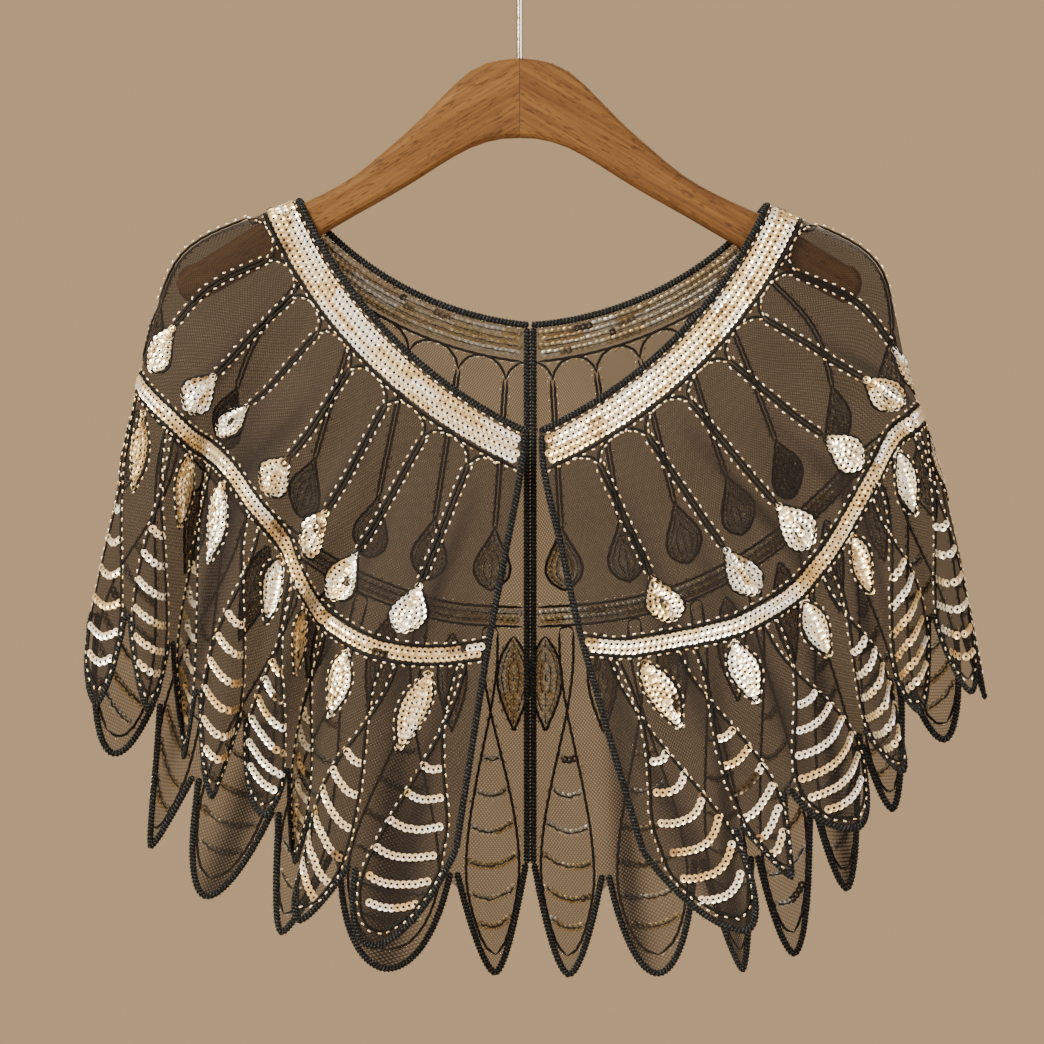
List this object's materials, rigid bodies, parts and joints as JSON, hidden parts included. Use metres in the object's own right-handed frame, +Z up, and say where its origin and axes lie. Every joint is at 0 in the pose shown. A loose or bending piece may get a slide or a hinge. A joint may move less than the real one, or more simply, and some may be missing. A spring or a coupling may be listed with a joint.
{
  "type": "sequin capelet on a hanger",
  "caption": "Open-fronted net capelet with a sequin neckband, waist band and petal hem, edged with fuzzy cord, on a contoured wooden hanger with a wire hook.",
  "frame": {"origin": "the inside top of the hook, where it lies on a rod", "axes": "+X the wearer's left, to the right as seen from the front; -Y the front; +Z up, along the hook's shank"},
  "size_m": [0.5511, 0.0982, 0.6519],
  "materials": {
    "net": "fine sheer net",
    "sequins": "glossy champagne sequins",
    "cord": "fuzzy matt",
    "closure": "satin black",
    "wood": "satin varnish",
    "hook_wire": "bright"
  },
  "bodies": {
    "root": {"body_left": "net", "body_right": "net", "neckband_left": "sequins", "neckband_right": "sequins", "waist_band_left": "sequins", "waist_band_right": "sequins", "neck_cord_left": "cord", "neck_cord_right": "cord", "front_cord_left": "cord", "front_cord_right": "cord", "back_seam_cord_left": "cord", "back_seam_cord_right": "cord", "hem_cord_left": "cord", "hem_cord_right": "cord", "hook_and_eye": "closure", "hanger_left": "wood", "hanger_right": "wood", "hook": "hook_wire"}
  },
  "joints": []
}
